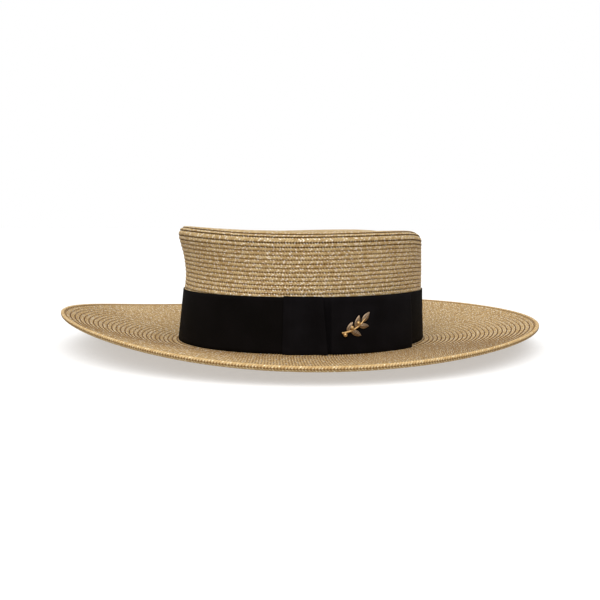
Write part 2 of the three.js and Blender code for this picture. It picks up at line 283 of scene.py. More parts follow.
def braid(name, surface, rows, facing, lap_low=True, deep=(), relief=1.0, fine=True):
    """Rows of plaited braid on a surface, each a strip of its own with a whole number of strands.

    facing is 1 or -1, for the side of the surface that the rows stand on, and lap_low says that
    a row's lapping edge is its lower place. The rows named in deep stand up at that edge. With
    fine off, a strand has one column of faces instead of two and no relief of its own.
    """
    per_strand = 2 if fine else 1
    points, faces, uv = [], [], []
    start = 0
    for row in rows:
        middle = surface(np.full(MEASURE_STEPS, row + 0.5), angles(MEASURE_STEPS))
        strands = max(round(ring_length(middle) / PLAIT_PITCH), 6)
        columns = per_strand * strands
        k = np.arange(columns)
        turned = (row * ROW_TURN) % 1
        u_lines, v_lines = [], []
        lines = [TURNED_DOWN, *ROW_LINES] if row in deep else ROW_LINES
        for line in lines:
            share = line["share"]
            u = k / per_strand - STRAND_SLANT * strand_slant(share)
            t = 2 * np.pi * (u + turned) / strands
            between = (k % 2 == 0) == (share < 0.5) if fine else np.full(columns, 0.5)
            past = line["past"][0] + between * (line["past"][1] - line["past"][0])
            height = line["height"][0] + between * (line["height"][1] - line["height"][0])
            if row in deep and line is not TURNED_DOWN:
                height = height + LAP_LIFT * (1 - share)
            if row + 1 in deep:
                height = height - DEEP_GROOVE * share**3
            across = share + past
            place = row + (across if lap_low else 1 - across)
            lift = (facing * relief * height)[:, None]
            points.append(surface(place, t) + lift * facing_out(surface, place, t))
            u_lines.append(u)
            v_lines.append(row + UV_MARGIN + (1 - 2 * UV_MARGIN) * share)
        nxt = (k + 1) % columns
        for n in range(len(lines) - 1):
            here, there = start + n * columns, start + (n + 1) * columns
            quads = np.stack([here + k, here + nxt, there + nxt, there + k], axis=1)
            u_here, u_there = u_lines[n], u_lines[n + 1]
            step = 1 / per_strand
            us = np.stack([u_here, u_here + step, u_there + step, u_there], axis=1)
            vs = np.broadcast_to([v_lines[n], v_lines[n], v_lines[n + 1], v_lines[n + 1]], us.shape)
            corners = np.stack([us, vs], axis=-1)
            if (facing > 0) != lap_low:
                quads, corners = quads[:, ::-1], corners[:, ::-1]
            faces.append(quads)
            uv.append(corners)
        start += len(lines) * columns
    return new_object(name, np.concatenate(points), np.concatenate(faces).tolist(), np.concatenate(uv))


# Crown

WALL_ROWS = round((CROWN_SIDE_HEIGHT - CROWN_EDGE_RADIUS) / WALL_PITCH)

# Turns, in degrees round the crown's edge, where a row of braid ends
EDGE_TURNS = np.array([0.0, 36.0, 62.0, 90.0])
EDGE_ROWS = len(EDGE_TURNS) - 1


def tip_span():
    """The distance from the side of the tip to its middle line."""
    t = angles(360)
    _, side = crown_reach(t, rim_height(t))
    return side.max() - CROWN_EDGE_RADIUS


TIP_SPAN = tip_span()
TIP_ROWS = round(TIP_SPAN / WALL_PITCH)

# The braid sags a little at the back of the crown's edge, from this share of the way to the back
BACK_SAG = 3.0
BACK_SAG_START = 0.7


def back_sag(t):
    """How far the crown's edge sags at an angle round the hat."""
    share = np.clip((-np.cos(t) - BACK_SAG_START) / (1 - BACK_SAG_START), 0, 1)
    return BACK_SAG * share**2


def crown_surface(depth):
    """The crown at a depth below its outside, as a function of places in rows and angles: first
    the wall's rows, then those of its edge, then those of the tip, which ends in a short line."""
    radius = CROWN_EDGE_RADIUS - depth

    def at(place, t):
        rim = rim_height(t) - back_sag(t)
        wall_top = rim - CROWN_EDGE_RADIUS
        up = np.minimum(place / WALL_ROWS, 1)
        turn = np.radians(np.interp(place - WALL_ROWS, np.arange(EDGE_ROWS + 1), EDGE_TURNS))
        height = CROWN_FOOT + (wall_top - CROWN_FOOT) * up + radius * np.sin(turn)
        wall = crown_point(t, height, radius * np.cos(turn) - CROWN_EDGE_RADIUS)

        along, side = crown_reach(t, rim - depth)
        inward = np.clip((place - WALL_ROWS - EDGE_ROWS) / TIP_ROWS, 0, 1)
        gone = CROWN_EDGE_RADIUS + inward * TIP_SPAN
        low = BRIM_WALL + CROWN_TIP_HEIGHT - depth
        x = np.maximum(side - gone, 0) * np.sin(t)
        y = -(along - gone) * np.cos(t) - CROWN_FORWARD
        z = low + (rim - depth - low) * (1 - inward) ** 2
        return np.where((inward > 0)[..., None], np.stack([x, y, z], axis=-1), wall)

    return at


wall_rows = range(WALL_ROWS)
tip_rows = range(WALL_ROWS, WALL_ROWS + EDGE_ROWS + TIP_ROWS)
raised_rows = (WALL_ROWS - 1, WALL_ROWS, WALL_ROWS + 1, WALL_ROWS + 2)
outside = crown_surface(CROWN_INSET)
crown_side = braid("crown_side", outside, wall_rows, 1, deep=raised_rows)
crown_tip = braid("crown_tip", outside, tip_rows, 1, deep=raised_rows)
inside = crown_surface(CROWN_WALL - INSIDE_INSET)
crown_inside = braid("crown_inside", inside, wall_rows, -1, fine=False)
crown_inside_tip = braid("crown_inside_tip", inside, tip_rows, -1, fine=False)

# Brim

FLAT_ROWS = 2


def dish_row_count():
    """How many rows of braid the brim's dish has, at its middle pitch."""
    _, flat_end, outer = brim_stations(angles(384))
    return round(float(np.linalg.norm(outer - flat_end, axis=-1).mean()) / BRIM_PITCH)


DISH_ROWS = dish_row_count()


def brim_surface(drop):
    """The brim's top face at a drop below it, as a function of places in rows and angles: the
    flat foot's rows first, then the dish's."""

    def at(place, t):
        foot = place / FLAT_ROWS - 1
        dish = (place - FLAT_ROWS) / DISH_ROWS
        point = brim_face(t, np.where(place < FLAT_ROWS, foot, dish))
        point[..., 2] -= drop
        return point

    return at


# The turned edge takes the place of the dish's last row. On the brim a row laps outwards.
brim_rows = range(FLAT_ROWS + DISH_ROWS - 1)
top_face = brim_surface(BRIM_INSET)
under_face = brim_surface(BRIM_WALL - BRIM_INSET)
brim_top = braid("brim_top", top_face, brim_rows, -1, lap_low=False)
brim_under = braid("brim_under", under_face, brim_rows, 1, lap_low=False)

# The lowest height of the braid in the head opening
COLLAR_FOOT = 0.2


def collar_surface(place, t):
    """The edge of the head opening, from the brim's underside up to the crown's foot."""
    height = COLLAR_FOOT + (CROWN_FOOT - COLLAR_FOOT) * place
    return crown_point(t, height, INSIDE_INSET - CROWN_WALL)


brim_collar = braid("brim_collar", collar_surface, range(1), -1, relief=0.6, fine=False)

# The turned edge's section, by turns in degrees round it from its inner side over the top. A row
# of braid ends at each of these turns, and the roll stands a little above the brim.
EDGE_ROLL_TURNS = [205.0, 130.0, -5.0, -85.0, -190.0]
EDGE_ROLL_RISE = 0.7
EDGE_ROLL_ROUNDNESS = 2.5
EDGE_ROLL_RECESS = 1.2


def edge_surface(place, t):
    """The brim's turned outer edge, a roll that draws back a little underneath."""
    _, flat_end, outer = brim_stations(t)
    width = np.linalg.norm(outer - flat_end, axis=-1)
    half_width = 0.5 * EDGE_WIDTH
    half_height = 0.5 * (EDGE_DEPTH + EDGE_ROLL_RISE)
    turn = np.radians(np.interp(place, np.arange(len(EDGE_ROLL_TURNS)), EDGE_ROLL_TURNS))
    power = EDGE_ROLL_ROUNDNESS
    size = (np.abs(np.cos(turn)) ** power + np.abs(np.sin(turn)) ** power) ** (1 / power)
    up = np.sin(turn) / size
    out = half_width * (np.cos(turn) / size - 1)
    out = out - EDGE_ROLL_RECESS * np.maximum(0, -up) ** 1.5
    point = brim_face(t, 1 + out / width)
    point[..., 2] += half_height * (up - 1) + EDGE_ROLL_RISE
    return point


edge_rows = range(len(EDGE_ROLL_TURNS) - 1)
brim_edge = braid("brim_edge", edge_surface, edge_rows, -1, relief=0.3)

# Ribbon


def band_mesh():
    """The band: a closed strip with soft edges that lies round the foot of the crown."""
    columns, steps = 480, 14
    back_gap, back_soft, front_soft = 0.1, 0.3, 0.25
    t = angles(columns)
    inner = CLEARANCE + back_gap
    outer = CLEARANCE + RIBBON_THICKNESS
    middle = 0.5 * (inner + outer)
    profile = [(inner, back_soft), (inner, RIBBON_WIDTH - back_soft), (middle, RIBBON_WIDTH)]
    profile += [(outer, RIBBON_WIDTH - front_soft)]
    for k in range(1, steps):
        profile.append((outer, RIBBON_WIDTH * (1 - k / steps)))
    profile += [(outer, front_soft), (middle, 0.0), (inner, back_soft)]
    lines = [crown_point(t, RIBBON_FOOT + up, out) for out, up in profile]
    points = np.array(lines[:-1])
    faces = []
    uv = []
    count = len(points)
    across = np.cumsum([0] + [math.dist(profile[k], profile[k + 1]) for k in range(count)])
    step = ring_length(points[1]) / columns
    for k in range(count):
        nxt_line = (k + 1) % count
        for j in range(columns):
            nxt = (j + 1) % columns
            faces.append(
                [k * columns + j, nxt_line * columns + j, nxt_line * columns + nxt, k * columns + nxt]
            )
            uv.extend(
                [
                    (j * step, across[k]),
                    (j * step, across[k + 1]),
                    ((j + 1) * step, across[k + 1]),
                    ((j + 1) * step, across[k]),
                ]
            )
    return new_object("ribbon_band", points.reshape(-1, 3), faces, uv), ring_length(points[1])


ribbon_band, band_length = band_mesh()


def angle_table():
    """Lengths along the band from the middle of the wearer's left, and their angles."""
    first, last, count = -0.6 * np.pi, 1.6 * np.pi, 6000
    t = np.linspace(first, last, count)
    middle = RIBBON_FOOT + 0.5 * RIBBON_WIDTH
    points = crown_point(t, middle, 0.0)
    steps = np.linalg.norm(np.diff(points, axis=0), axis=-1)
    lengths = np.concatenate([[0], np.cumsum(steps)])
    return lengths - np.interp(0.5 * np.pi, t, lengths), t


BAND_LENGTHS, BAND_ANGLES = angle_table()


def angle_along(length):
    return np.interp(length, BAND_LENGTHS, BAND_ANGLES)


def smoothstep(x, low, high):
    s = np.clip((x - low) / (high - low), 0, 1)
    return s * s * (3 - 2 * s)


# The shown ribbon of the bow is thinner than its solid
SHOWN_THICKNESS = 0.7

# The loop's front puffs out between these distances behind the knot
PUFF_START = 1.3
PUFF_FULL = 3.6
LOOP_PUFF = 2.3


def loop_front(along):
    """The outset of the loop's front, which puffs out behind a crease beside the knot."""
    swell = LOOP_SWELL * smoothstep(along, KNOT_BACK, LOOP_END)
    crease = smoothstep(along, KNOT_BACK + PUFF_START, KNOT_BACK + PUFF_FULL)
    return BACK_LAYER + LAYER + swell + LOOP_PUFF * crease * (1 - smoothstep(along, 0, LOOP_END))


def strip_mesh(name, path, height, lean=None, bulge=None):
    """A strip of ribbon on its edge along a path of (length along the band, outset), with a thin
    hem at its top and bottom."""
    levels, hem, hem_half, half = 12, 0.01, 0.15, 0.5
    path = np.array(path, float)
    tangent = np.gradient(path, axis=0)
    tangent /= np.linalg.norm(tangent, axis=1, keepdims=True)
    normal = np.stack([-tangent[:, 1], tangent[:, 0]], axis=1)
    lengths = np.concatenate([[0], np.cumsum(np.linalg.norm(np.diff(path, axis=0), axis=1))])
    ups = np.concatenate([[0.0], np.linspace(hem, 1 - hem, levels), [1.0]])
    loop = []
    for side in (-1, 1):
        for k, up in enumerate(ups if side == -1 else ups[::-1]):
            end = up in (0.0, 1.0)
            loop.append((side * (hem_half if end else half) * SHOWN_THICKNESS, up))
    rings = []
    for offset, up in loop:
        place = path + normal * offset
        along = place[:, 0] - (lean(place[:, 0]) * up if lean else 0)
        out = place[:, 1] + (bulge(place[:, 0], up) if bulge else 0)
        rings.append(crown_point(angle_along(along), RIBBON_FOOT + up * height, out))
    grid = np.array(rings)
    count, columns, _ = grid.shape
    faces = []
    uv = []
    for k in range(count):
        nxt = (k + 1) % count
        v0, v1 = loop[k][1] * height, loop[nxt][1] * height
        for j in range(columns - 1):
            faces.append(
                [k * columns + j, nxt * columns + j, nxt * columns + j + 1, k * columns + j + 1]
            )
            uv.extend([(lengths[j], v0), (lengths[j], v1), (lengths[j + 1], v1), (lengths[j + 1], v0)])
    for j in (0, columns - 1):
        cap = [k * columns + j for k in range(count)]
        if j == 0:
            cap.reverse()
        faces.append(cap)
        uv.extend([(lengths[j], 0.0)] * count)
    return new_object(name, grid.reshape(-1, 3), faces, uv), float(lengths[-1])


def loop_path():
    """The loop from its end under the knot along the band, round the fold and back."""
    run_steps, fold_steps = 110, 17
    fold_radius = 0.5 * (loop_front(LOOP_END) - BACK_LAYER)
    fold_start = LOOP_END - fold_radius
    runs = np.linspace(KNOT_BACK - LOOP_TUCK, fold_start, run_steps)[:-1]
    path = [(x, BACK_LAYER) for x in runs]
    for turn in np.linspace(-0.5 * np.pi, 0.5 * np.pi, fold_steps):
        path.append(
            (fold_start + fold_radius * math.cos(turn), BACK_LAYER + fold_radius * (1 + math.sin(turn)))
        )
    path += [(x, float(loop_front(x))) for x in runs[::-1]]
    return path


# The loop bellies in and out in waves that lean with height, and is a little fuller halfway up
BELLY_WAVE = 46.0
BELLY_LEAN = 1.1
BELLY_DEPTH = 0.45
BELLY_FULLNESS = 0.5
BELLY_START = 10.0


def loop_belly(along, up):
    swing = np.sin(2 * np.pi * (along - KNOT_BACK) / BELLY_WAVE + BELLY_LEAN * up)
    waves = BELLY_DEPTH * swing * smoothstep(along, KNOT_BACK, LOOP_END)
    full = BELLY_FULLNESS * np.sin(np.pi * up)
    return waves + full * smoothstep(along, KNOT_BACK + BELLY_START, LOOP_END)


bow_loop, loop_length = strip_mesh("ribbon_loop", loop_path(), RIBBON_WIDTH, bulge=loop_belly)

# The knot's back edge stands off the loop over this length
KNOT_FLARE = 2.2
KNOT_FLARE_LENGTH = 9.0


def knot_path():
    """The knot from its front edge on the band over the loop's two layers."""
    count = 40
    along = np.linspace(KNOT_FRONT, KNOT_BACK, count)
    ramp = smoothstep(along, KNOT_FRONT, KNOT_FRONT + KNOT_RAMP)
    flare = KNOT_FLARE * smoothstep(along, KNOT_BACK - KNOT_FLARE_LENGTH, KNOT_BACK)
    return np.stack([along, BACK_LAYER + 2 * LAYER * ramp + flare], axis=1)


def knot_lean(along):
    """How far the knot's top leans forward, most at its back edge."""
    return KNOT_LEAN * smoothstep(along, KNOT_FRONT, KNOT_BACK)


bow_knot, knot_length = strip_mesh(
    "ribbon_knot", knot_path(), RIBBON_WIDTH + KNOT_OVER, lean=knot_lean
)


# Materials


class Tree:
    """The node tree of a new material, with short ways to add what these materials use."""

    def __init__(self, name):
        self.material = bpy.data.materials.new(name)
        self.material.use_nodes = True
        self.nodes = self.material.node_tree.nodes
        self.links = self.material.node_tree.links
        self.shader = self.nodes["Principled BSDF"]

    def put(self, socket, value):
        if isinstance(value, bpy.types.NodeSocket):
            self.links.new(value, socket)
        elif value is not None:
            socket.default_value = value

    def math(self, operation, a, b=None, c=None):
        node = self.nodes.new("ShaderNodeMath")
        node.operation = operation
        for socket, value in zip(node.inputs, (a, b, c)):
            self.put(socket, value)
        return node.outputs[0]

    def mix(self, share, a, b):
        node = self.nodes.new("ShaderNodeMix")
        node.data_type = "RGBA"
        self.put(node.inputs["Factor"], share)
        self.put(node.inputs[6], a)
        self.put(node.inputs[7], b)
        return node.outputs[2]

    def step(self, value, low, high, to_low=0.0, to_high=1.0):
        node = self.nodes.new("ShaderNodeMapRange")
        node.interpolation_type = "SMOOTHSTEP"
        names = ("Value", "From Min", "From Max", "To Min", "To Max")
        for name, number in zip(names, (value, low, high, to_low, to_high)):
            self.put(node.inputs[name], number)
        return node.outputs[0]

    def hump(self, value):
        """0 at every whole number of a value, and 1 halfway between two."""
        return self.math("SINE", self.math("MULTIPLY", self.math("FRACT", value), math.pi))

    def spread(self, value, reach, middle=0.0):
        """A value of 0 to 1 as one that varies by a reach about a middle."""
        return self.math("MULTIPLY_ADD", value, 2 * reach, middle - reach)

    def uv(self):
        node = self.nodes.new("ShaderNodeUVMap")
        node.uv_map = "braid"
        split = self.nodes.new("ShaderNodeSeparateXYZ")
        self.links.new(node.outputs[0], split.inputs[0])
        return split.outputs[0], split.outputs[1]

    def vector(self, x, y, z):
        node = self.nodes.new("ShaderNodeCombineXYZ")
        for socket, value in zip(node.inputs, (x, y, z)):
            self.put(socket, value)
        return node.outputs[0]

    def white(self, vector):
        node = self.nodes.new("ShaderNodeTexWhiteNoise")
        node.noise_dimensions = "3D"
        self.links.new(vector, node.inputs["Vector"])
        return node.outputs["Value"]

    def noise(self, scale, detail):
        node = self.nodes.new("ShaderNodeTexNoise")
        place = self.nodes.new("ShaderNodeTexCoord")
        self.links.new(place.outputs["Object"], node.inputs["Vector"])
        node.inputs["Scale"].default_value = scale
        node.inputs["Detail"].default_value = detail
        return node.outputs[0]

    def bump(self, height, distance):
        node = self.nodes.new("ShaderNodeBump")
        node.inputs["Strength"].default_value = 1.0
        node.inputs["Distance"].default_value = distance
        self.links.new(height, node.inputs["Height"])
        return node.outputs[0]


def srgb(r, g, b):
    """A colour of three sRGB numbers up to 255 as the linear colour that Blender takes."""
    linear = []
    for value in (r, g, b):
        c = value / 255
        linear.append(c / 12.92 if c <= 0.04045 else ((c + 0.055) / 1.055) ** 2.4)
    return (*linear, 1.0)


# A row has two lanes of strands, and the second lane's start LANE_SHIFT of a strand later
LANES = 2.0
LANE_SHIFT = 0.5

# The third number of each random draw, which keeps the draws apart
TONE_DRAW = 3.0
THREAD_DRAW = 11.0
LEVEL_DRAW = 17.0

# In every pair of strands the thread shows in one quarter, at one of two levels across the lane.
# SAME is how close two whole numbers are that count as one.
THREAD_QUARTERS = 4.0
THREAD_LEVELS = 2.0
THREAD_SOFTNESS = 0.45
SAME = 0.4


def in_drawn_part(tree, place, parts, draw):
    """1 in the one of the parts of a place of 0 to 1 that a draw picks, with soft ends, else 0."""
    run = tree.math("MULTIPLY", place, parts)
    picked = tree.math("FLOOR", tree.math("MULTIPLY", draw, parts))
    inside = tree.math("COMPARE", tree.math("FLOOR", run), picked, SAME)
    return tree.math("MULTIPLY", inside, tree.step(tree.hump(run), 0.0, THREAD_SOFTNESS))


def straw_material(name, light, dark, crevice_shade, thread, lap_shade=1.0):
    """Sewn rows of fine plaited straw: two lanes of slanted strands in a row, with painted shade
    between them and at their ends, and a pale metallic thread that surfaces every few strands, its
    near-white colour partly a painted glint. Needs the UV map that counts strands and rows. A lap_shade
    under 1 widens the painted shade at a row's lapping edge."""
    strand_tone, patch_tone, fleck_tone, tone_margin = 0.3, 0.15, 0.35, 0.1
    patch_scale, patch_detail, fleck_scale, fleck_detail = 22.0, 3.0, 760.0, 2.0
    between_reach, between_shade = 0.6, 0.65
    dot_reach, dot_scallop, dot_softness, dot_depth = 0.29, 0.2, 0.03, 0.8
    roughness, specular, relief = 0.68, 0.2, 0.12
    thread_smoothness, thread_metal = 0.36, 0.3

    tree = Tree(name)
    u, v = tree.uv()
    row = tree.math("FLOOR", v)
    share = tree.math("FRACT", v)
    lanes = tree.math("MULTIPLY", share, LANES)
    lane = tree.math("FLOOR", lanes)
    lane_name = tree.math("MULTIPLY_ADD", row, LANES, lane)
    within = tree.math("FRACT", lanes)
    lean = tree.math("MULTIPLY_ADD", lane, 2.0, -1.0)
    slant = tree.math("MULTIPLY", tree.math("SUBTRACT", within, 0.5), lean)
    phase = tree.math("MULTIPLY_ADD", slant, STRAND_SLANT, u)
    phase = tree.math("MULTIPLY_ADD", lane, LANE_SHIFT, phase)
    cell = tree.math("FLOOR", phase)
    strand = tree.hump(phase)

    # Strands differ a little, and the whole varies in soft patches and small flecks
    draw = tree.white(tree.vector(cell, lane_name, TONE_DRAW))
    chance = tree.spread(draw, strand_tone, 0.5)
    patch = tree.spread(tree.noise(patch_scale, patch_detail), patch_tone)
    fleck = tree.spread(tree.noise(fleck_scale, fleck_detail), fleck_tone)
    tone = tree.math("ADD", tree.math("ADD", chance, patch), fleck)
    base = tree.mix(tree.step(tone, -tone_margin, 1 + tone_margin), dark, light)

    # Painted shade: brown between two strands, and dots where they end at a row's sides, standing in
    # for the shade in these crevices and under a row's lap
    between = tree.step(strand, 0.0, between_reach, between_shade, 0.0)
    lap = tree.math("MULTIPLY", share, lap_shade)
    edge = tree.math("MINIMUM", lap, tree.math("SUBTRACT", 1.0, share))
    scallop = tree.math("MULTIPLY_ADD", strand, -dot_scallop, dot_reach)
    dots = tree.step(tree.math("SUBTRACT", edge, scallop), -dot_softness, dot_softness, 1.0, 0.0)
    shade = tree.math("MAXIMUM", between, dots)
    colour = tree.mix(shade, base, crevice_shade)

    # The thread shows where no painted shade does. Its pale colour is partly the thread's own and
    # partly a painted glint.
    pairs = tree.math("MULTIPLY", phase, 0.5)
    pair = tree.math("FLOOR", pairs)
    draw = tree.white(tree.vector(pair, lane_name, THREAD_DRAW))
    in_quarter = in_drawn_part(tree, tree.math("FRACT", pairs), THREAD_QUARTERS, draw)
    draw = tree.white(tree.vector(pair, lane_name, LEVEL_DRAW))
    on_level = in_drawn_part(tree, within, THREAD_LEVELS, draw)
    thread_and_glint = tree.math("MULTIPLY", in_quarter, on_level)
    thread_and_glint = tree.math("MULTIPLY", thread_and_glint, tree.math("SUBTRACT", 1.0, shade))
    colour = tree.mix(thread_and_glint, colour, thread)

    shader = tree.shader
    tree.put(shader.inputs["Base Color"], colour)
    shine = tree.math("MULTIPLY_ADD", thread_and_glint, -thread_smoothness, roughness)
    tree.put(shader.inputs["Roughness"], shine)
    tree.put(shader.inputs["Metallic"], tree.math("MULTIPLY", thread_and_glint, thread_metal))
    shader.inputs["Specular IOR Level"].default_value = specular
    height = tree.math("SUBTRACT", strand, tree.math("MULTIPLY", dots, dot_depth))
    tree.put(shader.inputs["Normal"], tree.bump(height, relief * MM))
    return tree.material


# The third colour of each straw is painted shade for the crevices between strands and under row laps,
# and the fourth is the thread's colour, partly a painted glint
crown_straw = straw_material(
    "crown_straw", srgb(217, 191, 142), srgb(166, 131, 79), srgb(84, 54, 24), srgb(255, 250, 236)
)
# On the brim the painted shade reaches wider at each row's lapping edge, so the brim reads darker where
# its rows face the view
brim_straw = straw_material(
    "brim_straw", srgb(217, 187, 136), srgb(168, 132, 81), srgb(84, 53, 23), srgb(254, 246, 226),
    lap_shade=0.62,
)
# The turned edge's straw is a lighter copy of the brim's with less tone contrast. Its lightness is
# partly a painted highlight where the roll catches the light, and its crevices get a lighter painted
# shade.
edge_straw_lit = straw_material(
    "edge_straw_lit", srgb(224, 194, 142), srgb(194, 157, 103), srgb(146, 110, 64), srgb(246, 226, 184)
)


def grosgrain_material(name, base, high):
    """Black ribbon with fine ribs across it, finer threads along it and soft patches of wear."""
    rib_pitch, thread_pitch, thread_height, relief = 0.8, 0.35, 0.12, 0.09
    wear_scale, wear_detail, wear_start, wear_full = 45.0, 4.0, 0.3, 0.75
    roughness, specular = 0.7, 0.04

    tree = Tree(name)
    u, v = tree.uv()
    rib = tree.math("SINE", tree.math("MULTIPLY", u, 2 * math.pi / rib_pitch))
    thread = tree.math("SINE", tree.math("MULTIPLY", v, 2 * math.pi / thread_pitch))
    height = tree.math("MULTIPLY_ADD", thread, thread_height, rib)
    wear = tree.step(tree.noise(wear_scale, wear_detail), wear_start, wear_full)
    shader = tree.shader
    tree.put(shader.inputs["Base Color"], tree.mix(wear, base, high))
    shader.inputs["Roughness"].default_value = roughness
    shader.inputs["Specular IOR Level"].default_value = specular
    tree.put(shader.inputs["Normal"], tree.bump(height, relief * MM))
    return tree.material


ribbon_black = grosgrain_material("ribbon", srgb(9, 7, 6), srgb(14, 11, 11))
# The bow's ribbon is the band's ribbon made a little lighter and bluer, a painted sheen where the loop
# faces the light
bow_black_lit = grosgrain_material("bow_ribbon", srgb(11, 9, 10), srgb(19, 17, 19))


def brass_material(name, recess, rubbed):
    """Antique brass: dark where it is recessed, rubbed bright on what stands out."""
    grain_scale, grain_detail, grain_wear, relief = 420.0, 4.0, 0.25, 0.05
    hollow, ridge, wear_start, wear_full = 0.44, 0.56, 0.1, 0.9
    roughness, roughness_reach, metal = 0.375, 0.125, 0.9

    tree = Tree(name)
    grain = tree.noise(grain_scale, grain_detail)
    pointed = tree.nodes.new("ShaderNodeNewGeometry").outputs["Pointiness"]
    worn = tree.math("ADD", tree.step(pointed, hollow, ridge), tree.spread(grain, grain_wear))
    colour = tree.mix(tree.step(worn, wear_start, wear_full), recess, rubbed)
    shader = tree.shader
    tree.put(shader.inputs["Base Color"], colour)
    shader.inputs["Metallic"].default_value = metal
    tree.put(shader.inputs["Roughness"], tree.spread(grain, roughness_reach, roughness))
    tree.put(shader.inputs["Normal"], tree.bump(grain, relief * MM))
    return tree.material


aged_brass = brass_material("aged_brass", srgb(84, 60, 34), srgb(194, 158, 106))
leaf_bronze = brass_material("leaf_bronze", srgb(66, 52, 42), srgb(176, 150, 122))

# Sprig

LEAF_LENGTH = 10.5
LEAF_WIDTH = 4.6
STEM_RADIUS = 0.75
STEM_HEIGHT = 1.25
BERRY_RADIUS = 1.6
BERRY_HEIGHT = 1.35
SPRIG_GAP = 0.1
LOOP_BEND_RADIUS = 95.0

# Leaves: place along the stem, side of it, share of the leaf length, and turn from the stem
LEAVES = [
    {"at": 0.2, "side": 1, "size": 0.78, "turn": 0.85},
    {"at": 0.34, "side": -1, "size": 0.88, "turn": 0.8},
    {"at": 0.54, "side": 1, "size": 0.92, "turn": 0.75},
    {"at": 0.68, "side": -1, "size": 0.82, "turn": 0.75},
    {"at": 0.86, "side": 1, "size": 0.9, "turn": 0.0},
]

# Berries: place along the stem, side of it, and how far clear of it as a share of the radius
BERRIES = [
    {"at": 0.4, "side": 1, "out": 0.7},
    {"at": 0.1, "side": -1, "out": 0.6},
    {"at": 0.72, "side": 1, "out": 0.7},
]

STEM_START = np.array([-0.5, -0.1]) * (SPRIG_LENGTH - 0.5 * LEAF_LENGTH)
STEM_BEND = np.array([0.0, -0.16]) * SPRIG_LENGTH
STEM_END = np.array([0.3, 0.1]) * SPRIG_LENGTH


def stem_at(share):
    """A point of the stem and its direction, in the sprig's own plane."""
    point = (1 - share) ** 2 * STEM_START + 2 * share * (1 - share) * STEM_BEND + share**2 * STEM_END
    way = 2 * (1 - share) * (STEM_BEND - STEM_START) + 2 * share * (STEM_END - STEM_BEND)
    return point, math.atan2(way[1], way[0])


def add_grid(points, faces, grid):
    """Adds a grid of points, closed round its columns and at both ends, to points and faces."""
    start = len(points)
    rows, columns, _ = grid.shape
    points.extend(grid.reshape(-1, 3).tolist())
    for k in range(rows - 1):
        for j in range(columns):
            nxt = (j + 1) % columns
            faces.append(
                [start + k * columns + j, start + k * columns + nxt,
                 start + (k + 1) * columns + nxt, start + (k + 1) * columns + j]
            )
    faces.append([start + j for j in range(columns)][::-1])
    faces.append([start + (rows - 1) * columns + j for j in range(columns)])


def leaf_grid(length, size):
    """A closed leaf along +X: domed on top, with a raised midrib, veins and a turned-up rim."""
    rows, half, end_gap = 40, 14, 0.004
    veins, vein_slope = 7, 1.6
    dome_rise, rib_rise, rim_rise, vein_rise = 0.825, 0.2625, 0.105, 0.0675
    rib_width, rim_width, rim_place, vein_start = 0.13, 0.08, 0.88, 0.2
    top_foot, top_arch, under_foot, under_arch, under_width = 0.25, 0.5, 0.1, 0.4, 0.96
    grid = []
    for k in range(rows + 1):
        share = end_gap + (1 - 2 * end_gap) * k / rows
        arch = math.sin(math.pi * share)
        reach = 0.5 * LEAF_WIDTH * size * math.sin(math.pi * share**0.8) ** 0.75
        ring = []
        for j in range(2 * half + 1):
            side = j / half - 1
            off = abs(side)
            wave = math.cos(2 * math.pi * (veins * share - vein_slope * off))
            dome = dome_rise * (1 - side * side) ** 0.6
            rib = rib_rise * math.exp(-((side / rib_width) ** 2)) * (1 - share) ** 0.3
            rim = rim_rise * math.exp(-(((off - rim_place) / rim_width) ** 2))
            vein = vein_rise * wave * (1 - off) ** 0.5 * min(1.0, off / vein_start)
            height = top_foot + top_arch * arch + dome + rib + rim + vein
            ring.append([share * length, reach * side, height])
        for j in range(2 * half - 1, 0, -1):
            side = under_width * (j / half - 1)
            ring.append([share * length, reach * side, under_foot + under_arch * arch])
        grid.append(ring[::-1])
    return np.array(grid)


def turned(grid, turn, point):
    """A grid turned about its own z and moved to a point of the sprig's plane."""
    c, s = math.cos(turn), math.sin(turn)
    x, y, z = grid[..., 0], grid[..., 1], grid[..., 2]
    return np.stack([c * x - s * y + point[0], s * x + c * y + point[1], z], axis=-1)


def sprig_leaves():
    points, faces = [], []
    for leaf in LEAVES:
        point, turn = stem_at(leaf["at"])
        grid = leaf_grid(LEAF_LENGTH * leaf["size"], leaf["size"] ** 0.5)
        add_grid(points, faces, turned(grid, turn + leaf["side"] * leaf["turn"], point))
    return points, faces


def beside_stem(share, out):
    """A point at a distance to the left of the stem, in the sprig's own plane."""
    point, turn = stem_at(share)
    return point[0] - out * math.sin(turn), point[1] + out * math.cos(turn)


def stem_grid():
    """The stem: a rod that tapers to its end and swells a little in knots along it."""
    steps, sides = 48, 16
    thick, taper, knot_size, knot_rate = 1.1, 0.45, 0.08, 40
    rod = []
    for k in range(steps + 1):
        share = k / steps
        knots = 1 + knot_size * math.cos(knot_rate * share)
        radius = STEM_RADIUS * (thick - taper * share) * knots
        ring = []
        for j in range(sides):
            a = 2 * math.pi * j / sides
            x, y = beside_stem(share, radius * math.cos(a))
            ring.append([x, y, STEM_HEIGHT + radius * math.sin(a)])
        rod.append(ring)
    return np.array(rod)


